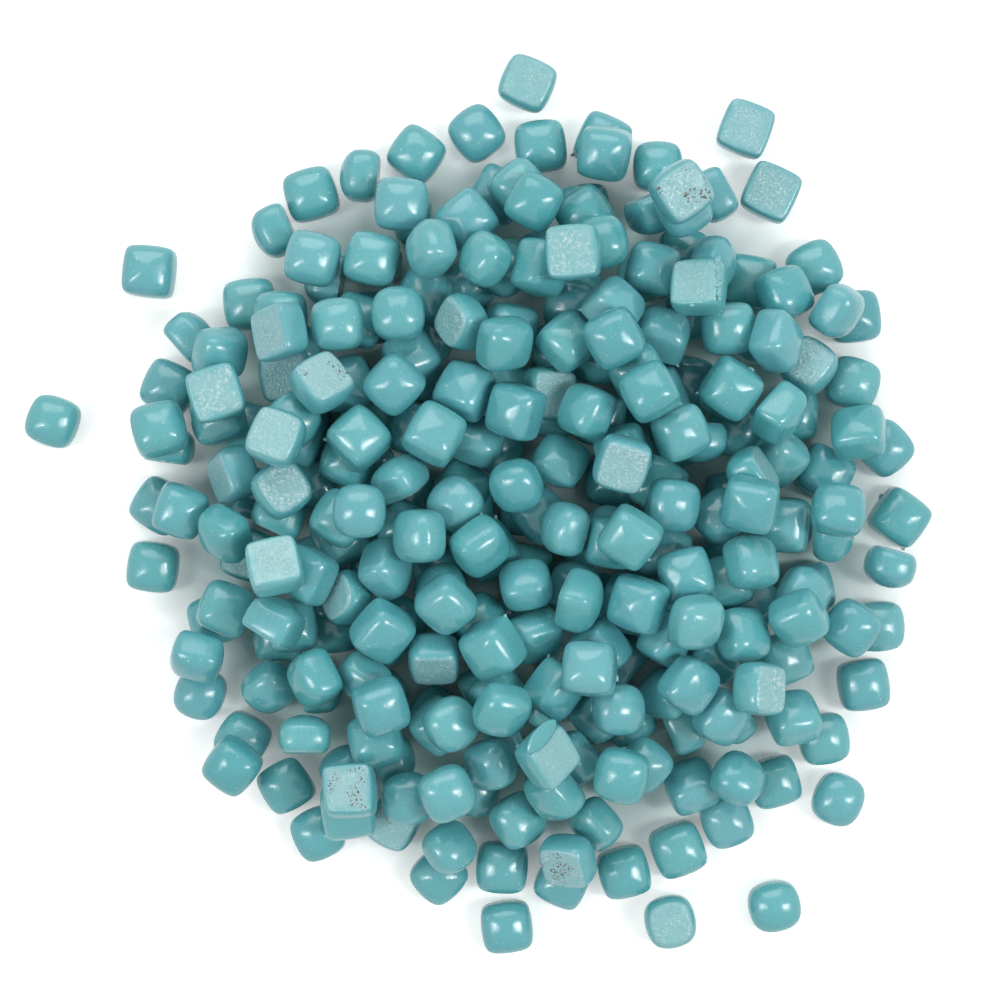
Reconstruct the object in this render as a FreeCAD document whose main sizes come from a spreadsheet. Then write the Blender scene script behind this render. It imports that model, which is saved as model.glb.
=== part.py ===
import FreeCAD, Part

import math
import os
import random

import Sketcher

# A heap of loose pressed-glass mosaic tiles, tipped out on a flat table.
# Each tile is a small square pillow: a flat back, four upright walls with cut corners, and a low
# dome of facets that meet on the diagonals. A bed of tiles lies flat on the table, courses of
# tilted tiles lie on top of it, and a few strays lie round the edge. No two tiles are joined.
# The origin is the middle of the heap on the table, +Z is up and lengths are in millimetres.

SIZES = (
    # One tile, lying on its flat back: its walls, the steep shoulder over them and the crown
    ("tile_width", 8.0),
    ("wall_height", 3.9),
    ("corner_cut", 1.3),
    ("shoulder_run", 1.1),
    ("shoulder_rise", 1.3),
    ("crown_rise", 0.8),
    # The circle that the middles of the bed's tiles lie in, and how far each course over it keeps
    # back from the edge of the one beneath
    ("bed_radius", 54.0),
    ("second_step", 6.5),
    ("third_step", 9.5),
    ("top_step", 13.0),
    # The room that each course leaves between its tiles on the average
    ("rim_room", 1.0),
    ("second_room", 0.9),
    ("third_room", 1.2),
    ("top_room", 1.8),
    # The least room between a tile and those beside it
    ("seat_gap", 0.12),
)

doc = FreeCAD.newDocument("mosaic_tile_heap")
sheet = doc.addObject("Spreadsheet::Sheet", "Sizes")
for row, (alias, number) in enumerate(SIZES, start=1):
    sheet.set(f"A{row}", alias)
    sheet.set(f"B{row}", str(number))
    sheet.setAlias(f"B{row}", alias)
doc.recompute()


class Size:
    """A length from the sheet, or one worked out from it: its number and its expression."""

    def __init__(self, number, text):
        self.number = number
        self.text = text

    def __add__(self, other):
        return Size(self.number + other.number, f"({self.text} + {other.text})")

    def __sub__(self, other):
        return Size(self.number - other.number, f"({self.text} - {other.text})")

    def __mul__(self, share):
        return Size(self.number * share, f"({self.text} * {share})")

    def __neg__(self):
        return self * -1


size = {alias: Size(number, f"Sizes.{alias}") for alias, number in SIZES}
ZERO = Size(0.0, "0 mm")


# The tile, a body of its own: a block with a domed outline along one axis, cut to the same outline
# along the other, so that the two domes meet on the diagonals, and with its four corners cut off

tile_body = doc.addObject("PartDesign::Body", "tile")


def origin_feature(role):
    """The plane or axis of the tile body's own origin that has this role."""
    return next(item for item in tile_body.Origin.OriginFeatures if item.Role == role)


def closed_profile(name, plane, corners):
    """A sketch of straight lines through corners, each corner held by the sheet's sizes."""
    sketch = tile_body.newObject("Sketcher::SketchObject", name)
    sketch.AttachmentSupport = [(origin_feature(plane), "")]
    sketch.MapMode = "FlatFace"
    points = [FreeCAD.Vector(x.number, y.number, 0) for x, y in corners]
    for start, end in zip(points, points[1:] + points[:1]):
        sketch.addGeometry(Part.LineSegment(start, end), False)
    for line, (x, y) in enumerate(corners):
        before = (line - 1) % len(corners)
        sketch.addConstraint(Sketcher.Constraint("Coincident", before, 2, line, 1))
        for kind, length, axis in (("DistanceX", x, -2), ("DistanceY", y, -1)):
            if length is ZERO:
                sketch.addConstraint(Sketcher.Constraint("PointOnObject", line, 1, axis))
                continue
            held = Sketcher.Constraint(kind, -1, 1, line, 1, length.number)
            index = sketch.addConstraint(held)
            sketch.setExpression(f"Constraints[{index}]", length.text)
    return sketch


half_width = size["tile_width"] * 0.5
shoulder = half_width - size["shoulder_run"]
shoulder_height = size["wall_height"] + size["shoulder_rise"]
tile_height = shoulder_height + size["crown_rise"]
corner_flat = half_width - size["corner_cut"]
beyond = size["tile_width"]

block = tile_body.newObject("PartDesign::Pad", "block")
block.Profile = closed_profile("side_outline", "XZ_Plane", (
    (-half_width, ZERO),
    (half_width, ZERO),
    (half_width, size["wall_height"]),
    (shoulder, shoulder_height),
    (ZERO, tile_height),
    (-shoulder, shoulder_height),
    (-half_width, size["wall_height"]),
))
block.Midplane = True
block.setExpression("Length", "Sizes.tile_width")

dome_cut = tile_body.newObject("PartDesign::Pocket", "dome_cut")
dome_cut.Profile = closed_profile("dome_outline", "YZ_Plane", (
    (half_width, size["wall_height"]),
    (beyond, size["wall_height"]),
    (beyond, tile_height * 2),
    (-beyond, tile_height * 2),
    (-beyond, size["wall_height"]),
    (-half_width, size["wall_height"]),
    (-shoulder, shoulder_height),
    (ZERO, tile_height),
    (shoulder, shoulder_height),
))
dome_cut.Midplane = True
dome_cut.setExpression("Length", "Sizes.tile_width * 2")

corner = tile_body.newObject("PartDesign::Pocket", "corner")
corner.Profile = closed_profile("corner_outline", "XY_Plane", (
    (corner_flat, half_width),
    (half_width, corner_flat),
    (beyond, beyond),
))
corner.Midplane = True
corner.setExpression("Length", (tile_height * 4).text)

corners = tile_body.newObject("PartDesign::PolarPattern", "corners")
corners.Originals = [corner]
corners.Axis = (origin_feature("Z_Axis"), [""])
corners.Angle = 360
corners.Occurrences = 4
tile_body.Tip = corners
doc.recompute()


# Settling the heap: every tile sinks into place by itself, as it would when the box is tipped out.
# A tile is a solid with flat faces, so that a point lies in it when it is behind all of them.

TILE = tile_body.Shape
MIDDLE = TILE.Solids[0].CenterOfMass
WIDTH = size["tile_width"].number
HEIGHT = tile_height.number
GAP = size["seat_gap"].number
UP = FreeCAD.Vector(0, 0, 1)
# How easily a tile turns, against how easily it moves, as for a plain block of the same size
TURNING = 12 / (WIDTH**2 + HEIGHT**2)


def flat_faces():
    """Each face of the tile as its outward normal and its distance from the tile's middle."""
    found = []
    for face in TILE.Faces:
        normal = face.normalAt(0, 0)
        found.append((normal, normal.dot(face.CenterOfMass - MIDDLE)))
    return found


def edge_points(spacing):
    """The tile's corners and the points along its edges, from the tile's middle."""
    found = [vertex.Point - MIDDLE for vertex in TILE.Vertexes]
    for edge in TILE.Edges:
        start, end = (vertex.Point - MIDDLE for vertex in edge.Vertexes)
        pieces = math.ceil(edge.Length / spacing)
        found += [start + (end - start) * (step / pieces) for step in range(1, pieces)]
    return found


FACES = flat_faces()
COARSE = edge_points(WIDTH * 0.36)
FINE = edge_points(WIDTH * 0.06)
REACH = max(point.Length for point in COARSE)


class Tile:
    """A tile on its way down or at rest: where its middle is and which way it is turned."""

    def __init__(self, middle, turned):
        self.place = FreeCAD.Placement(middle, turned)
        self.update()

    def update(self):
        self.middle = self.place.Base
        self.inward = self.place.inverse()
        self.points = [self.place.multVec(point) for point in COARSE]
        self.fine_points = None

    def fine(self):
        """The finely spaced points, worked out only when they are asked for."""
        if not self.fine_points:
            self.fine_points = [self.place.multVec(point) for point in FINE]
        return self.fine_points

    def top(self):
        return max(point.z for point in self.points)

    def away(self, x, y):
        return math.hypot(self.middle.x - x, self.middle.y - y)

    def move(self, shift, turn):
        if turn.Length > 1e-9:
            step = FreeCAD.Rotation(turn, math.degrees(min(turn.Length, 0.2)))
            self.place.Rotation = step * self.place.Rotation
        self.place.Base = self.place.Base + shift
        self.update()


def touches(points, other, way, room):
    """The points that lie nearer than room to another tile, with the way out and how deep."""
    found = []
    for point in points:
        local = other.inward.multVec(point)
        out, nearest = None, -REACH
        for normal, distance in FACES:
            outside = normal.dot(local) - distance
            if outside > room:
                break
            if outside > nearest:
                out, nearest = normal, outside
        else:
            out = other.place.Rotation.multVec(out) * way
            found.append((point, out, room - nearest))
    return found


def meeting(tile, points, other, other_points, room):
    """Where the edges of two tiles come nearer than room. Only the points that face the other
    tile are tried, and none where a plane across the line between the middles parts them."""
    line = other.middle - tile.middle
    if line.Length > 2 * REACH + room:
        return []
    line.normalize()
    along = [point.dot(line) for point in points]
    other_along = [point.dot(line) for point in other_points]
    far = max(along) + room
    near = min(other_along) - room
    if far < min(other_along):
        return []
    facing = [point for point, distance in zip(points, along) if distance > near]
    other_facing = [point for point, distance in zip(other_points, other_along) if distance < far]
    return touches(facing, other, 1, room) + touches(other_facing, tile, -1, room)


def contacts(tile, others, room=GAP):
    """Where a tile meets the tiles round it and the table."""
    found = [(point, UP, -point.z) for point in tile.points if point.z < -1e-6]
    for other in others:
        found += meeting(tile, tile.points, other, other.points, room)
    return found


def fine_contacts(tile, others):
    """The same contacts, with the finely spaced points of the tiles that are near enough."""
    found = [(point, UP, -point.z) for point in tile.points if point.z < -1e-6]
    for other in others:
        if (tile.middle - other.middle).Length < 2 * REACH:
            found += meeting(tile, tile.fine(), other, other.fine(), GAP)
    return found


def clears(found, share):
    """True where no contact takes up more than a share of the gap between tiles."""
    return max((depth for point, out, depth in found), default=0) < GAP * share


def push_out(tile, found, level):
    """Move and turn a tile so that it clears its contacts; a level one only slides and spins."""
    pushes = []
    for point, out, depth in found:
        arm = (point - tile.middle).cross(out)
        if level:
            out = FreeCAD.Vector(out.x, out.y, 0)
            arm = FreeCAD.Vector(0, 0, arm.z)
        freedom = out.dot(out) + TURNING * arm.dot(arm)
        if freedom > 1e-6:
            pushes.append((out, arm, depth, freedom))
    shift = FreeCAD.Vector()
    turn = FreeCAD.Vector()
    for sweep in range(5):
        for out, arm, depth, freedom in pushes:
            left = depth - out.dot(shift) - arm.dot(turn)
            if left > 0:
                shift += out * (left / freedom)
                turn += arm * (TURNING * left / freedom)
    tile.move(shift, turn)


def lay(x, y, height, turned, heap):
    """Slide a tile that lies level on the table clear of the others, or return None."""
    tile = Tile(FreeCAD.Vector(x, y, height), turned)
    beside = [other for other in heap if other.away(x, y) < 3 * REACH]
    for attempt in range(30):
        found = [hit for hit in contacts(tile, beside) if hit[1] != UP]
        if clears(found, 0.15):
            return tile if clears(fine_contacts(tile, beside), 0.35) else None
        push_out(tile, found, True)
        if tile.away(x, y) > 0.33 * WIDTH:
            return None
    return None


def draw_in(tile, others):
    """Slide a tile towards the heap's middle until only a small gap parts it from the others."""
    inwards = FreeCAD.Vector(-tile.middle.x, -tile.middle.y, 0).normalize()
    beside = [other for other in others if (tile.middle - other.middle).Length < 6 * REACH]
    while not contacts(tile, beside, 2 * GAP):
        tile.move(inwards * GAP, FreeCAD.Vector())


def ground(x, y, heap, radius):
    """The height of the highest tile's middle within a radius of a place."""
    return max((tile.middle.z for tile in heap if tile.away(x, y) < radius), default=0)


def drop(x, y, turned, heap):
    """Let a tile sink on the others until they hold it, or return None where it is stuck."""
    beside = [other for other in heap if other.away(x, y) < 3 * REACH]
    start = ground(x, y, beside, 1.5 * REACH) + 1.8 * REACH
    tile = Tile(FreeCAD.Vector(x, y, start), turned)
    fall = WIDTH * 0.1
    touched = 0
    while touched < 45:
        inward = FreeCAD.Vector(-tile.middle.x, -tile.middle.y, 0) * (0.005 if touched else 0)
        tile.move((inward - UP) * fall, FreeCAD.Vector())
        found = contacts(tile, beside)
        if found:
            touched += 1
            push_out(tile, found, False)
            fall = max(fall * 0.94, GAP / 3)
    for attempt in range(20):
        found = contacts(tile, beside)
        if clears(found, 0.15):
            break
        push_out(tile, found, False)
    for attempt in range(6):
        found = fine_contacts(tile, beside)
        if clears(found, 0.35):
            return tile
        push_out(tile, found, False)
    return None


chance = random.Random(7)

# The three ways a tile lies, and the height of its middle when it lies so on the table
DOME_UP = (FreeCAD.Rotation(), MIDDLE.z)
BACK_UP = (FreeCAD.Rotation(FreeCAD.Vector(1, 0, 0), 180), HEIGHT - MIDDLE.z)
ON_SIDE = (FreeCAD.Rotation(FreeCAD.Vector(1, 0, 0), 90), WIDTH / 2)


def spin(degrees):
    return FreeCAD.Rotation(UP, degrees)


def sideways(share):
    """A length either way, by chance, up to a share of the tile's width."""
    return chance.uniform(-share, share) * WIDTH


def some_way():
    """One of the three ways to lie, by chance. Most tiles land on their heavy flat backs."""
    return chance.choices((DOME_UP, ON_SIDE, BACK_UP), weights=(76, 20, 4))[0]


def rim_places(radius, spacing):
    """Points evenly round a circle."""
    count = round(2 * math.pi * radius / spacing)
    for index in range(count):
        angle = 2 * math.pi * index / count
        yield radius * math.cos(angle), radius * math.sin(angle)


def disc_places(radius, spacing):
    """Points that fill a circle evenly, as a sunflower's seeds do, from its middle outwards."""
    golden_angle = math.pi * (3 - math.sqrt(5))
    count = round(math.pi * radius**2 / spacing**2)
    for index in range(count):
        distance = radius * math.sqrt((index + 0.5) / count)
        yield distance * math.cos(index * golden_angle), distance * math.sin(index * golden_angle)


def bed(strays):
    """The tiles that lie flat on the table: one at the origin, the rim, and then the rest, all
    drawn in towards the middle until they touch."""
    first = Tile(FreeCAD.Vector(0, 0, MIDDLE.z), FreeCAD.Rotation())
    course = [first]
    radius = size["bed_radius"].number
    places = list(rim_places(radius, WIDTH + size["rim_room"].number))
    places += disc_places(radius - 0.8 * WIDTH, 0.87 * WIDTH)
    for x, y in places:
        for attempt in range(8):
            turned, height = some_way()
            turned = spin(chance.uniform(0, 360)) * turned
            tile = lay(x + sideways(0.15), y + sideways(0.15), height, turned, strays + course)
            if tile:
                course.append(tile)
                break
    course.sort(key=lambda tile: tile.away(0, 0))
    for tile in course[1:]:
        draw_in(tile, [other for other in strays + course if other is not tile])
    return course


def lowest(drops):
    """The tile that came to rest the lowest, of several drops at one place."""
    return min((tile for tile in drops if tile), key=Tile.top, default=None)


def tip(degrees):
    """A lean of up to so many degrees, in any direction, by chance."""
    axis = spin(chance.uniform(0, 360)).multVec(FreeCAD.Vector(1, 0, 0))
    return FreeCAD.Rotation(axis, chance.uniform(0, degrees))


def upper_course(heap, radius, spacing):
    """Tiles dropped into the hollows of the heap: of three drops each, the lowest one stays."""
    course = []
    for x, y in disc_places(radius, spacing):
        below = heap + course
        places = [(x + sideways(0.8), y + sideways(0.8)) for place in range(16)]
        places.sort(key=lambda place: ground(*place, below, 0.7 * WIDTH))
        drops = []
        for place in places[:3]:
            turned = tip(12) * spin(chance.uniform(0, 360)) * some_way()[0]
            drops.append(drop(*place, turned, below))
        if lowest(drops):
            course.append(lowest(drops))
    return course


# Tiles that lie on top with their rough backs up, where they show: bearing from the heap's middle
# in degrees, distance from it as a share of the bed's radius, and turn in degrees
SHOWN_BACKS = (
    (36, 0.28, 3),
    (-91, 0.61, 10),
    (154, 0.65, 30),
    (79, 0.67, -12),
    (168, 0.69, -30),
    (-160, 0.69, 2),
    (-43, 0.70, -8),
    (49, 0.73, 15),
    (138, 0.74, 20),
    (161, 0.86, 30),
    (65, 0.88, 35),
    (-81, 0.88, 25),
    (-123, 0.93, 5),
)


def shown_backs(heap):
    course = []
    for bearing, share, turn in SHOWN_BACKS:
        place = spin(bearing).multVec(FreeCAD.Vector(size["bed_radius"].number * share, 0, 0))
        drops = []
        for attempt in range(4):
            turned = tip(6) * spin(turn) * BACK_UP[0]
            drops.append(drop(place.x + sideways(0.1), place.y + sideways(0.1), turned, heap + course))
        if lowest(drops):
            course.append(lowest(drops))
    return course


# Strays, which lie level round the heap: bearing from its middle in degrees, distance beyond the
# bed's radius in tile widths, turn in degrees and the way the tile lies. The first ones touch the
# heap or each other, and the last four lie by themselves.
STRAYS = (
    ("stray_north", 89.7, 0.94, -24, BACK_UP),
    ("stray_east_of_north", 52.4, 0.47, -25, BACK_UP),
    ("stray_northeast", 60.0, 1.0, -21, BACK_UP),
    ("stray_southeast", -42.8, 1.06, -22, DOME_UP),
    ("stray_east_of_south", -70.6, 1.10, 13, BACK_UP),
    ("stray_northwest", 147.6, 1.31, -6, DOME_UP),
    ("stray_west", 169.3, 1.95, -20, DOME_UP),
    ("stray_south", -92.5, 0.79, 7, DOME_UP),
    ("stray_far_southeast", -57.8, 1.72, 12, DOME_UP),
)
TOUCHING = 5


def stray(bearing, out, turn, way):
    turned, height = way
    distance = size["bed_radius"].number + out * WIDTH
    place = spin(bearing).multVec(FreeCAD.Vector(distance, 0, height))
    return Tile(place, spin(turn) * turned)


def move_clear(tile, heap):
    """Slide a stray out from the heap's middle until nothing touches it."""
    outwards = FreeCAD.Vector(tile.middle.x, tile.middle.y, 0).normalize()
    while contacts(tile, heap, 2 * GAP):
        tile.move(outwards * GAP, FreeCAD.Vector())


# The heap, from the table up. Each course is cut into slices, as a cake is, to make its sub-parts.

strays = {name: stray(*place) for name, *place in STRAYS}
heap = bed(list(strays.values()))
courses = {"bed": (heap, 8)}
for number, tile in enumerate(strays.values()):
    move_clear(tile, heap)
    if number < TOUCHING:
        draw_in(tile, heap)
    heap = heap + [tile]
radius = size["bed_radius"].number
for name, slices in (("second", 7), ("third", 5), ("top", 3)):
    radius -= size[f"{name}_step"].number
    course = upper_course(heap, radius, WIDTH + size[f"{name}_room"].number)
    courses[f"{name}_course"] = (course, slices)
    heap = heap + course
courses["shown_backs"] = (shown_backs(heap), 3)

sub_parts = {name: [tile] for name, tile in strays.items()}
for name, (course, slices) in courses.items():
    for tile in course:
        bearing = math.degrees(math.atan2(tile.middle.y, tile.middle.x)) % 360
        slice_number = int(bearing * slices / 360) + 1
        sub_parts.setdefault(f"{name}_{slice_number}", []).append(tile)

# Each sub-part is a group of loose tiles, and every tile is a linked copy of the tile body

groups = []
from_middle = FreeCAD.Placement(-MIDDLE, FreeCAD.Rotation())
for name, tiles in sorted(sub_parts.items()):
    copies = []
    for number, tile in enumerate(tiles, start=1):
        copy = doc.addObject("App::Link", f"{name}_tile_{number}")
        copy.LinkedObject = tile_body
        copy.Placement = tile.place * from_middle
        copies.append(copy)
    group = doc.addObject("Part::Compound", name)
    group.Label = name
    group.Links = copies
    groups.append(group)
doc.recompute()

for item in doc.Objects:
    if "Invalid" in item.State or "Error" in item.State:
        raise RuntimeError(f"{item.Label} did not recompute")
os.makedirs("parts", exist_ok=True)
for group in groups:
    shape = group.Shape
    if shape.isNull() or not shape.isValid() or len(shape.Solids) != len(group.Links):
        raise RuntimeError(f"{group.Label} is not a set of sound tiles")
    shape.exportStep(f"parts/{group.Label}.step")
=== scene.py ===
import math
import random

import bmesh
import bpy
from mathutils import Matrix, Vector


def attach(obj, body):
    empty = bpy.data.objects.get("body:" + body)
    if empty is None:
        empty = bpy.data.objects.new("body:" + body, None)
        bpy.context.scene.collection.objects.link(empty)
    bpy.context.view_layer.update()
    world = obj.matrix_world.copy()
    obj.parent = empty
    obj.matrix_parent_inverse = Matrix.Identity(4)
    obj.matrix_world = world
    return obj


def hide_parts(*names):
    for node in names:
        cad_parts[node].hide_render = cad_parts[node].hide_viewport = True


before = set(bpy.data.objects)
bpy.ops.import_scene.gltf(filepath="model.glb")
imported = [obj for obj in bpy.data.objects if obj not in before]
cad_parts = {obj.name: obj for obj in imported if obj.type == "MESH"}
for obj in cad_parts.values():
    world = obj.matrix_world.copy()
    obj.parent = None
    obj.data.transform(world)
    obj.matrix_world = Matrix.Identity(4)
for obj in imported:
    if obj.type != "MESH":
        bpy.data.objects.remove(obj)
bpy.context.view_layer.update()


# The pressed tile
# Each mosaic tile is a cushion of opaque glass, pressed hot in a mould: a flat back with a rounded
# edge, four straight walls with rounded upright corners, and a domed face whose four gently curved
# sides meet in soft ridges. The dies are worn by different amounts, from crisp to very round.

MM = 0.001
TILE = 8.0 * MM
WALL = 3.55 * MM
# How much narrower the walls are at the top, and the shallow dish of the back inside its edge
DRAFT = 0.97
DISH_EDGE = 0.35 * MM
DISH_DEPTH = 0.06 * MM
# The most by which two points of one level differ
LEVEL = 0.01 * MM
# The rise in mm and the width that is left of each step of a face, from the walls up
SHOULDER = ((0.60, 0.950), (0.93, 0.800))
WORN_SHOULDER = ((0.50, 0.940), (0.85, 0.790))
FACET = ((0.42, 0.540), (0.29, 0.350))
PILLOW = ((0.47, 0.580), (0.24, 0.430))


def let_go():
    """Leaves no object selected, so that the next step works on the one it makes or picks."""
    bpy.ops.object.select_all(action="DESELECT")


def pick(kind, wanted):
    """Selects only the faces, edges or vertices in edit mode that pass a test."""
    bpy.ops.mesh.select_mode(type={"faces": "FACE", "edges": "EDGE", "verts": "VERT"}[kind])
    bpy.ops.mesh.select_all(action="DESELECT")
    tile = bmesh.from_edit_mesh(bpy.context.object.data)
    for part in getattr(tile, kind):
        if wanted(part):
            part.select_set(True)
    tile.select_flush_mode()
    bmesh.update_edit_mesh(bpy.context.object.data)


def draw_up(rise, width, soft):
    """Draws the top up by a rise, narrows it to a share of its width and softens its corners."""
    top = max(v.co.z for v in bmesh.from_edit_mesh(bpy.context.object.data).verts)
    pick("faces", lambda f: min(v.co.z for v in f.verts) > top - LEVEL)
    bpy.ops.mesh.extrude_region_move(TRANSFORM_OT_translate={"value": (0, 0, rise)})
    top += rise
    bpy.ops.transform.resize(value=(width, width, 1), center_override=(0, 0, top))
    pick("verts", lambda v: v.co.z > top - LEVEL and abs(v.co.x) > abs(v.co.y))
    bpy.ops.transform.resize(value=(1, soft, 1), center_override=(0, 0, top))
    pick("verts", lambda v: v.co.z > top - LEVEL and abs(v.co.y) > abs(v.co.x))
    bpy.ops.transform.resize(value=(soft, 1, 1), center_override=(0, 0, top))


def press_tile(name, corner, back_edge, soft, steps):
    """A tile with its back down at the origin: corner and back_edge are the mm that its upright
    corners and the edge of its back lose, and soft is how far each step draws its corners in."""
    let_go()
    bpy.ops.mesh.primitive_cube_add(size=1, location=(0, 0, WALL / 2), scale=(TILE, TILE, WALL))
    bpy.ops.object.transform_apply(location=True, rotation=False, scale=True)
    tile = bpy.context.object
    tile.name = name
    bpy.ops.object.mode_set(mode="EDIT")
    pick("edges", lambda e: abs(e.verts[0].co.z - e.verts[1].co.z) > WALL / 2)
    bpy.ops.mesh.bevel(offset=corner * MM, offset_type="OFFSET", segments=1, affect="EDGES")
    pick("edges", lambda e: max(v.co.z for v in e.verts) < LEVEL)
    bpy.ops.mesh.bevel(offset=back_edge * MM, offset_type="OFFSET", segments=1, affect="EDGES")
    pick("faces", lambda f: f.normal.z > 0.9)
    bpy.ops.transform.resize(value=(DRAFT, DRAFT, 1), center_override=(0, 0, WALL))
    for rise, width in steps:
        draw_up(rise * MM, width, soft)
    pick("faces", lambda f: f.normal.z < -0.9)
    bpy.ops.mesh.inset(thickness=DISH_EDGE)
    bpy.ops.transform.translate(value=(0, 0, DISH_DEPTH))
    bpy.ops.object.mode_set(mode="OBJECT")
    bpy.ops.object.shade_smooth()
    note_place(tile, 0)
    return tile


def note_place(tile, lift):
    """Keeps each point's place in the mould, in mm, for the glass to know face from back."""
    place = tile.data.attributes.new("mould", "FLOAT_VECTOR", "POINT")
    for point, vertex in zip(place.data, tile.data.vertices):
        point.vector = vertex.co / MM + Vector((0, 0, lift))


dies = [
    press_tile("crisp_tile", 0.85, 0.60, 0.99, SHOULDER + FACET),
    press_tile("plain_tile", 1.15, 0.85, 0.955, SHOULDER + PILLOW),
    press_tile("worn_tile", 1.45, 1.00, 0.945, WORN_SHOULDER + PILLOW),
    press_tile("round_tile", 1.80, 1.10, 0.95, WORN_SHOULDER + PILLOW),
]


# Flash
# Thin leaves of glass that squeezed out between the halves of the die: small spurs at the edges of
# a few backs, and one broad leaf. They broke off unevenly and are part of their tile.

# The shares of a leaf's length that its middle and its two narrower steps to each end take, and
# the width and the thickness that are left after each step
LEAF_MIDDLE = 0.3
LEAF_STEPS = ((0.2, 0.72), (0.15, 0.2))
LEAF_THINS = 0.7
# Where the spurs of the one spurred die lie: mm from its middle along x and y, and turn in degrees
SPURS = ((3.3, 3.3, 45), (-1.0, -3.85, 12))
SPUR_HEIGHT = 0.25


def leaf(name, length, width, thick, lift):
    """A leaf of glass, in mm, that narrows to both ends and lies along x at the origin. With no
    lift it is as rough as a back."""
    let_go()
    size = Vector((length * LEAF_MIDDLE, width, thick)) * MM
    bpy.ops.mesh.primitive_cube_add(size=1, scale=size)
    bpy.ops.object.transform_apply(location=True, rotation=False, scale=True)
    flash = bpy.context.object
    flash.name = name
    bpy.ops.object.mode_set(mode="EDIT")
    for way in (1, -1):
        pick("faces", lambda f: f.normal.x * way > 0.9)
        for share, narrow in LEAF_STEPS:
            step = (way * length * share * MM, 0, 0)
            bpy.ops.mesh.extrude_region_move(TRANSFORM_OT_translate={"value": step})
            bpy.ops.transform.resize(value=(1, narrow, LEAF_THINS))
    bpy.ops.object.mode_set(mode="OBJECT")
    bpy.ops.object.shade_smooth()
    note_place(flash, lift)
    return flash


def weld(tile, flash, place):
    """Sets a copy of a leaf of flash at a place and makes it one with the tile."""
    copy = flash.copy()
    copy.data = flash.data.copy()
    bpy.context.scene.collection.objects.link(copy)
    copy.data.transform(place)
    let_go()
    tile.select_set(True)
    copy.select_set(True)
    bpy.context.view_layer.objects.active = tile
    bpy.ops.object.join()


spur = leaf("spur", 1.1, 0.6, 0.35, 0)
broad_leaf = leaf("broad_leaf", 6.4, 3.0, 0.55, 2)
spurred = press_tile("spurred_tile", 0.95, 0.20, 0.98, SHOULDER + PILLOW)
for along, across, turn in SPURS:
    spot = Matrix.Translation(Vector((along, across, SPUR_HEIGHT)) * MM)
    weld(spurred, spur, spot @ Matrix.Rotation(math.radians(turn), 4, "Z"))
dies.append(spurred)


# The finish of the glass
# Turquoise glass, opaque and a little cloudy, glossy where it met the die. The back lay on the
# carrier, so it is granular and pitted, with a pale bloom, and some backs carry brown scale.

# Every tile carries three sets of values: mould, its points' places in the mould in mm; melt, the
# shade, hue and cloudiness of its glass; and wear, how frosted, coarse and scaled it is.
# The colours, each from its deepest to its palest, and those of the motes, bloom and scale
GREEN = ((0.080, 0.385, 0.415, 1), (0.145, 0.470, 0.500, 1))
BLUE = ((0.086, 0.370, 0.418, 1), (0.152, 0.455, 0.507, 1))
MOTE_WHITE = (0.68, 0.82, 0.82, 1)
BLOOM_WHITE = (0.74, 0.84, 0.84, 1)
SCALE_BROWN = (0.065, 0.028, 0.024, 1)
# How fine each pattern is: streaks to the mm across the draw, and the others to the metre
STREAKS = 2.6
DRIFT = 150
SWELL = 420
MOTES = 2000
GRAIN = 2900
LUMPS = 480
STAINS = 330
# The gloss that both finishes share, and how deep their relief goes
GLOSS = {"IOR": 1.52, "Specular IOR Level": 0.64}
RELIEF = 0.1 * MM


class Wire:
    """A socket of a node tree that adds, takes away and multiplies as numbers do."""

    def __init__(self, tree, socket=None):
        self.tree = tree
        self.socket = socket

    def node(self, kind, settings=None, inputs=None, output=0):
        made = self.tree.nodes.new(kind)
        for name, value in (settings or {}).items():
            setattr(made, name, value)
        for name, value in (inputs or {}).items():
            if isinstance(value, Wire):
                self.tree.links.new(value.socket, made.inputs[name])
            else:
                made.inputs[name].default_value = value
        return Wire(self.tree, made.outputs[output] if made.outputs else None)

    def maths(self, operation, first, second):
        return self.node("ShaderNodeMath", {"operation": operation}, {0: first, 1: second})

    def __add__(self, other):
        return self.maths("ADD", self, other)

    def __sub__(self, other):
        return self.maths("SUBTRACT", self, other)

    def __rsub__(self, other):
        return self.maths("SUBTRACT", other, self)

    def __mul__(self, other):
        return self.maths("MULTIPLY", self, other)

    def __abs__(self):
        return self.maths("ABSOLUTE", self, 0.0)

    __radd__ = __add__
    __rmul__ = __mul__

    def larger(self, other):
        return self.maths("MAXIMUM", self, other)

    def ramp(self, low, high):
        """Runs smoothly from 0 at low to 1 at high."""
        return self.node(
            "ShaderNodeMapRange",
            {"interpolation_type": "SMOOTHSTEP"},
            {"Value": self, "From Min": low, "From Max": high},
        )

    def blend(self, first, second):
        """The mix of two colours, where this value is the share of the second."""
        return self.node(
            "ShaderNodeMix",
            {"data_type": "RGBA"},
            {0: self, 6: first, 7: second},
            output=2,
        )


def noted(wire, name):
    """The three values kept at each point under a name."""
    vector = wire.node("ShaderNodeAttribute", {"attribute_name": name}, output=1)
    split = wire.node("ShaderNodeSeparateXYZ", None, {0: vector})
    outputs = split.socket.node.outputs
    return [Wire(wire.tree, outputs[n]) for n in range(3)]


def speckle(wire, place, scale, detail, roughness):
    settings = {"Vector": place, "Scale": scale, "Detail": detail, "Roughness": roughness}
    return wire.node("ShaderNodeTexNoise", None, settings)


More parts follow.
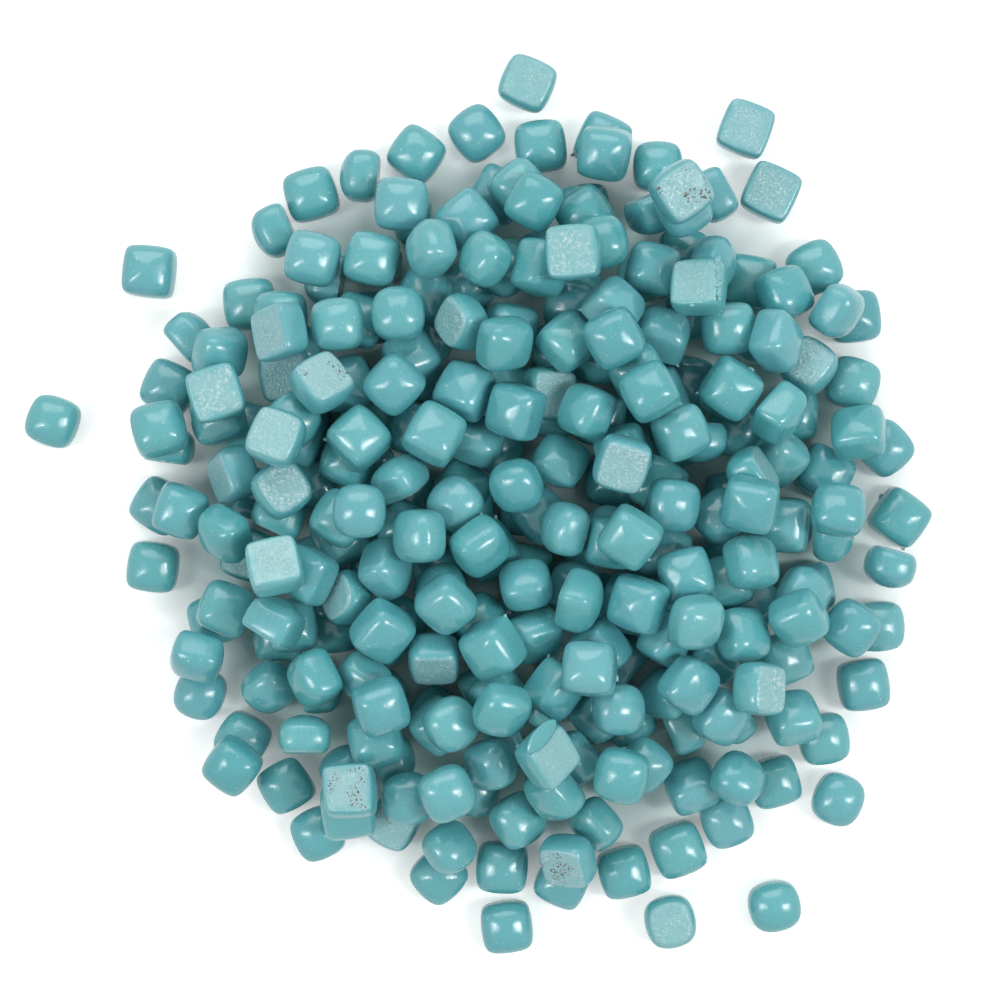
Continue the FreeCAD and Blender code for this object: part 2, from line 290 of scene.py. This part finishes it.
def turquoise_glass():
    finish = bpy.data.materials.new("turquoise_glass")
    finish.use_nodes = True
    tree = finish.node_tree
    tree.nodes.clear()
    wire = Wire(tree)
    place = wire.node("ShaderNodeTexCoord", output=3)
    across, along, height = noted(wire, "mould")
    shade, hue, cloud = noted(wire, "melt")
    frost, coarse, scale = noted(wire, "wear")
    wall = height.ramp(4.4, 3.4)
    reach = abs(across).larger(abs(along))

    drawn = wire.node(
        "ShaderNodeCombineXYZ",
        None,
        {0: across + shade * 9, 1: along + hue * 7, 2: height * 0.12},
    )
    streaks = speckle(wire, drawn, STREAKS, 1, 0.5)
    drift = speckle(wire, place, DRIFT, 1, 0.5)
    uneven = (drift - 0.5) * 0.45 * cloud + (streaks - 0.5) * 0.5
    depth = (shade * 0.28 + uneven + 0.5).ramp(0.0, 1.0)
    clear = hue.blend(depth.blend(*GREEN), depth.blend(*BLUE))

    rim = height.ramp(0.50, 0.25) * reach.ramp(3.65, 3.8) * frost
    motes = (speckle(wire, place, MOTES, 1, 0.5) + rim * 0.15).ramp(0.71, 0.80) * 0.4
    glass = motes.blend(clear, MOTE_WHITE)

    swell = speckle(wire, place, SWELL, 1, 0.5)
    relief = swell * 0.8 + streaks * wall * (0.1 + frost * 0.25)
    face_bump = wire.node("ShaderNodeBump", None, {"Distance": RELIEF, "Height": relief})
    roughness = 0.185 + wall * frost * 0.12
    face = wire.node(
        "ShaderNodeBsdfPrincipled",
        None,
        {"Base Color": glass, "Roughness": roughness, "Normal": face_bump, **GLOSS},
    )

    grain = speckle(wire, place, GRAIN - coarse * 1300, 2, 0.65)
    lumps = speckle(wire, place, LUMPS, 2, 0.6)
    back = height.ramp(0.36, 0.16) * (reach + (lumps - 0.5) * 0.8).ramp(3.50, 3.00)
    patch = lumps.ramp(0.40, 0.62)
    sugar = grain.ramp(0.46, 0.70) * (patch * 0.7 + 0.3)
    bloom = 0.13 + cloud * 0.12 + sugar * (0.26 + coarse * 0.40)
    pale = bloom.blend(glass, BLOOM_WHITE)
    stain = speckle(wire, place, STAINS, 1, 0.5).ramp(0.50, 0.58)
    crust = grain.ramp(0.56, 0.61) * stain * scale
    dusty = crust.blend(pale, SCALE_BROWN)
    pitting = (grain - 0.5) * (0.9 + patch * 1.2 + coarse) + (lumps - 0.5) * (0.8 + coarse * 2.2)
    pitting = pitting * reach.ramp(3.4, 2.9)
    back_bump = wire.node("ShaderNodeBump", None, {"Distance": RELIEF, "Height": pitting})
    roughness = 0.17 + patch * 0.06
    rough_back = wire.node(
        "ShaderNodeBsdfPrincipled",
        None,
        {"Base Color": dusty, "Roughness": roughness, "Normal": back_bump, **GLOSS},
    )
    skin = wire.node("ShaderNodeMixShader", None, {0: back, 1: face, 2: rough_back})
    wire.node("ShaderNodeOutputMaterial", None, {"Surface": skin})
    return finish


glass = turquoise_glass()


# The bed
# The lowest tiles lie close together on the table, backs down for the most part, and carry the
# rest. Every tile lies as the source has it: its back, its walls and its face are found on the
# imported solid, and a pressed tile of its own, a little smaller and out of true, is laid there.

# How far the tiles of one die differ: the share that is left of their width and of their height,
# how their walls lean, how much narrower one end is, and the unevenness from point to point
WIDTHS = (0.955, 1.0)
HEIGHTS = (0.96, 1.0)
LEAN = 0.018
TAPER = 0.03
UNEVEN = 0.012
# The share of tiles with a chipped corner, how deep the chip goes, and which points it takes: how
# high up the wall they may lie, and how far out from the middle
CHIPPED = 0.08
CHIP = (0.3 * MM, 0.8 * MM)
CHIP_TOP = 0.3 * WALL
CHIP_FROM = 0.28 * TILE
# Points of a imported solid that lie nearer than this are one
ONE_POINT = 0.002 * MM
# How often each die was used: crisp, plain, worn, round and spurred
ALL_DIES = (12, 44, 27, 12, 5)
CRISPER_DIES = (50, 50, 0, 0, 0)


def flat_sides(faces):
    """The flat sides of one solid: direction, area and the points of each."""
    sides = []
    for face in faces:
        for side in sides:
            if side[0].dot(face.normal) > 0.999:
                side[1] += face.calc_area()
                side[2].update(face.verts)
                break
        else:
            sides.append([face.normal.copy(), face.calc_area(), set(face.verts)])
    return sorted(sides, key=lambda side: -side[1])


def one_solid(face, left):
    """Takes all the faces that hang together with a face out of those left."""
    found = [face]
    left.discard(face)
    for at in found:
        for edge in at.edges:
            for beside in edge.link_faces:
                if beside in left:
                    left.discard(beside)
                    found.append(beside)
    return found


def tile_places(node):
    """A matrix for each tile of a node: the middle of its back, a wall's way and its face's way."""
    solids = bmesh.new()
    solids.from_mesh(node.data)
    bmesh.ops.remove_doubles(solids, verts=solids.verts, dist=ONE_POINT)
    solids.normal_update()
    left = set(solids.faces)
    places = []
    for face in solids.faces:
        if face not in left:
            continue
        sides = flat_sides(one_solid(face, left))
        up = -sides[0][0]
        middle = sum((v.co for v in sides[0][2]), Vector()) / len(sides[0][2])
        wall = next(side[0] for side in sides[1:] if abs(side[0].dot(up)) < 0.01)
        turned = Matrix((wall, up.cross(wall), up)).transposed().to_4x4()
        places.append(Matrix.Translation(middle) @ turned)
    solids.free()
    return places


def out_of_true(tile, chance):
    """Makes one copy a little smaller, wider at one end, with its face slumped to one side."""
    size = [chance.uniform(*WIDTHS) for axis in range(2)] + [chance.uniform(*HEIGHTS)]
    lean = [chance.gauss(0, LEAN) for axis in range(2)]
    taper = [chance.uniform(-TAPER, TAPER) / TILE for axis in range(2)]
    for vertex in tile.data.vertices:
        x, y, z = vertex.co
        skew = 1 + chance.uniform(-UNEVEN, 0.0)
        across = x * size[0] * skew * (1 - abs(taper[0]) * TILE / 2 + taper[0] * y)
        along = y * size[1] * skew * (1 - abs(taper[1]) * TILE / 2 + taper[1] * x)
        vertex.co = (across + lean[0] * z, along + lean[1] * z, z * size[2])


def set_values(tile, name, values):
    """Gives every point of a tile the same three values under a name."""
    kept = tile.data.attributes.get(name) or tile.data.attributes.new(name, "FLOAT_VECTOR", "POINT")
    kept.data.foreach_set("vector", list(values) * len(tile.data.vertices))


def chip_corner(tile, chance):
    """Breaks a little glass from one corner of the back."""
    way = Vector((chance.choice((-1, 1)), chance.choice((-1, 1)), 0))
    depth = chance.uniform(*CHIP)
    for vertex in tile.data.vertices:
        out = min(vertex.co.x * way.x, vertex.co.y * way.y)
        if vertex.co.z < CHIP_TOP and out > CHIP_FROM:
            vertex.co += depth * Vector((-way.x, -way.y, 0.8))


def lay_tile(place, chance, worn, finish_off):
    """A pressed tile of its own at one place; worn is how often each die was used."""
    die = chance.choices(dies, weights=worn)[0]
    tile = die.copy()
    tile.data = die.data.copy()
    bpy.context.scene.collection.objects.link(tile)
    if chance.random() < CHIPPED:
        chip_corner(tile, chance)
    out_of_true(tile, chance)
    tile.data.transform(place)
    set_values(tile, "melt", (chance.gauss(0, 0.5), chance.random() ** 1.5, chance.random()))
    set_values(tile, "wear", (chance.random() ** 2, chance.random() ** 2, 0.0))
    if finish_off:
        finish_off(tile, place, chance)
    return tile


def lay_group(start, worn=ALL_DIES, finish_off=None):
    """Lays all tiles of the nodes whose names start alike, each node's as one piece."""
    for node in sorted(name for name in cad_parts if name.startswith(start)):
        chance = random.Random(node)
        places = tile_places(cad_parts[node])
        laid = [lay_tile(place, chance, worn, finish_off) for place in places]
        let_go()
        for tile in laid:
            tile.select_set(True)
        bpy.context.view_layer.objects.active = laid[0]
        if len(laid) > 1:
            bpy.ops.object.join()
        piece = bpy.context.object
        piece.name = "tiles_" + node
        piece.data.materials.clear()
        piece.data.materials.append(glass)
        smooth = piece.modifiers.new("smooth", "SUBSURF")
        smooth.levels = 2
        smooth.render_levels = 2
        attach(piece, "root")
        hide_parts(node)


lay_group("bed_")


# The second course
# Loose glass tiles that rest on the bed and in its gaps, tilted by whatever is under them. They
# are held by their weight alone, and they are pressed and finished like the tiles of the bed.
lay_group("second_course_")


# The third course
# Fewer tiles, on top of the second course towards the middle of the heap, lying the same way.
lay_group("third_course_")


# The top course
# The last few tiles, on the crown of the heap. They are the same glass from the same dies, and
# they too are held by nothing but their weight.
lay_group("top_course_")


# The shown backs
# Tiles that came to rest face down on top of others, so that their granular backs show. Some
# carry brown scale, one kept a broad leaf of flash, and one has a ragged edge with crumbs of glass.

# The marked tiles, by their places on the table in mm, and how near to them counts
SCALED = ((-28, 19), (22, 43), (5, -50), (-25, -38))
LEAFED = (4, -34)
RAGGED = (23, 32)
NEAR = 3.5
# Where the leaf lies on its back: mm east, north and up, and turn. The crumbs lie in a row along
# the east edge of theirs, and one by itself at the south edge.
LEAF_PLACE = (-2.6, 3.1, 0.0, 40)
CRUMBS = [(3.3, 0.4 * n) for n in range(-8, 8)] + [(-0.6, -3.6)]
CRUMB_SIZES = (0.6, 1.1)
CRUMB_HEIGHTS = (-0.2, 0.05)


def lies_at(place, spot):
    """True where a tile is the one at a spot on the table."""
    x, y = place.translation.x / MM, place.translation.y / MM
    return math.hypot(x - spot[0], y - spot[1]) < NEAR


def on_back(place, east, north, up, turn):
    """A place on a tile's back, some mm east, north and up from its middle as the heap is seen."""
    out = -place.col[2].xyz
    way = (Vector((1, 0, 0)) - out * out.x).normalized()
    turned = Matrix((way, out.cross(way), out)).transposed().to_4x4()
    spot = Matrix.Translation(Vector((east, north, up)) * MM)
    spin = Matrix.Rotation(math.radians(turn), 4, "Z")
    return Matrix.Translation(place.translation) @ turned @ spot @ spin


def mark_back(tile, place, chance):
    """Puts scale, the leaf or the crumbs on the tiles that have them."""
    if any(lies_at(place, spot) for spot in SCALED):
        set_values(tile, "wear", (chance.random(), chance.random() ** 2, 1.0))
    if lies_at(place, LEAFED):
        weld(tile, broad_leaf, on_back(place, *LEAF_PLACE))
    if lies_at(place, RAGGED):
        for east, north in CRUMBS:
            size = Matrix.Scale(chance.uniform(*CRUMB_SIZES), 4)
            up = chance.uniform(*CRUMB_HEIGHTS)
            weld(tile, spur, on_back(place, east, north, up, chance.uniform(0, 180)) @ size)


lay_group("shown_backs_", CRISPER_DIES, mark_back)


# The strays
# Single tiles that rolled off and lie on the bare table round the heap, some against its foot.
# They are the last tiles to be laid, so the dies and the pattern leaves are put away after them.
lay_group("stray_")

for pattern in dies + [spur, broad_leaf]:
    bpy.data.objects.remove(pattern)


# The table
# A white table top that goes to plain white round the heap and keeps the heap's shadow. Under the
# heap its colour is painted a darker teal grey, painted shade coloured like light cast off the
# glass.
# The glow is only for what is seen of it and lights nothing.

# Its width, and how little it lies below the backs that rest on it, in metres
TABLE = 4
TABLE_DROP = 0.02 * MM
TABLE_WHITE = (0.80, 0.81, 0.80, 1)
# Painted shade under the heap: a darker teal grey that stands in for the heap's shadow and the
# light cast off the glass
TABLE_PAINTED_SHADE = (0.56, 0.72, 0.70, 1)
# How much it glows round the heap and how much more far out, with the distances in metres
# over which each comes in, and those over which the painted shade comes in towards the middle
GLOW, GLOW_FROM, GLOW_TO = 0.46, 0.045, 0.058
FAR_GLOW, FAR_FROM, FAR_TO = 0.3, 0.2, 0.9
PAINTED_SHADE_FROM, PAINTED_SHADE_TO = 0.060, 0.040


def table_top():
    finish = bpy.data.materials.new("white_table")
    finish.use_nodes = True
    tree = finish.node_tree
    tree.nodes.clear()
    wire = Wire(tree)
    rays = wire.node("ShaderNodeLightPath").socket.node.outputs
    seen = Wire(tree, rays["Is Camera Ray"])
    mirrored = Wire(tree, rays["Is Glossy Ray"])
    through = Wire(tree, rays["Is Transmission Ray"])
    place = wire.node("ShaderNodeTexCoord", output=3)
    out = wire.node("ShaderNodeVectorMath", {"operation": "LENGTH"}, {0: place}, output=1)
    open_table = out.ramp(GLOW_FROM, GLOW_TO) * GLOW + out.ramp(FAR_FROM, FAR_TO) * FAR_GLOW
    glow = wire.node(
        "ShaderNodeEmission",
        None,
        {"Color": (1, 1, 1, 1), "Strength": (seen + mirrored + through) * open_table},
    )
    # Painted shade: from 60 mm in towards the middle, the table's colour turns to the darker teal
    # grey
    painted_shade = out.ramp(PAINTED_SHADE_FROM, PAINTED_SHADE_TO).blend(TABLE_WHITE, TABLE_PAINTED_SHADE)
    top = wire.node("ShaderNodeBsdfDiffuse", None, {"Color": painted_shade})
    both = wire.node("ShaderNodeAddShader", None, {0: top, 1: glow})
    wire.node("ShaderNodeOutputMaterial", None, {"Surface": both})
    return finish


let_go()
bpy.ops.mesh.primitive_plane_add(size=TABLE, location=(0, 0, -TABLE_DROP))
table = bpy.context.object
table.name = "table_top"
table.data.materials.append(table_top())


# The room
# A white room that lights the heap softly from all round, at AMBIENT. What is seen of it, straight
# or mirrored in the glass, is plain white.

AMBIENT = 0.344
world = bpy.data.worlds.new("studio")
bpy.context.scene.world = world
world.use_nodes = True
world.node_tree.nodes.clear()
air = Wire(world.node_tree)
paths = air.node("ShaderNodeLightPath").socket.node.outputs
shown = Wire(air.tree, paths["Is Camera Ray"])
for mirror in ("Is Glossy Ray", "Is Transmission Ray"):
    shown = shown.larger(Wire(air.tree, paths[mirror]))
white = {"Color": (1, 1, 1, 1), "Strength": AMBIENT + shown * (1 - AMBIENT)}
air.node("ShaderNodeOutputWorld", None, {"Surface": air.node("ShaderNodeBackground", None, white)})


# The lamps
# Two tall soft boxes stand left and right, a little below the heap in the picture, and leave the
# two bright marks on every face, brighter in the middle where the bulb is. A broad panel behind
# lightens the sides that face it.
def soft_box(name, place, wide, tall, strength):
    """strength is the brightness of the panel where a lit white sheet is 1."""
    let_go()
    bpy.ops.object.light_add(type="AREA", location=place)
    box = bpy.context.object
    box.name = name
    box.rotation_euler = (-Vector(place)).to_track_quat("-Z", "Y").to_euler()
    box.data.shape = "RECTANGLE"
    box.data.size = wide
    box.data.size_y = tall
    box.data.energy = strength * wide * tall * math.pi


soft_box("left_box", (-0.62, -0.16, 0.86), 0.29, 0.54, 4.4)
soft_box("left_bulb", (-0.61, -0.157, 0.846), 0.09, 0.16, 14.0)
soft_box("right_box", (0.62, -0.10, 0.86), 0.27, 0.54, 7.4)
soft_box("right_bulb", (0.61, -0.098, 0.846), 0.09, 0.16, 22.0)
soft_box("back_panel", (-0.1, 0.95, 0.85), 1.2, 0.7, 2.3)


# The camera
# It hangs straight above the heap, a little west and north of its middle, and takes in 146 mm of
# the table. The colours go to the picture as they are, with no film look over them.

HANG = 0.318
TAKEN_IN = 0.146
SENSOR = 36
bpy.ops.object.camera_add(location=(-0.00365, 0.00146, HANG), rotation=(0, 0, 0))
camera = bpy.context.object
camera.data.sensor_width = SENSOR
camera.data.lens = SENSOR * HANG / TAKEN_IN
bpy.context.scene.camera = camera

view = bpy.context.scene.view_settings
view.view_transform = "Standard"
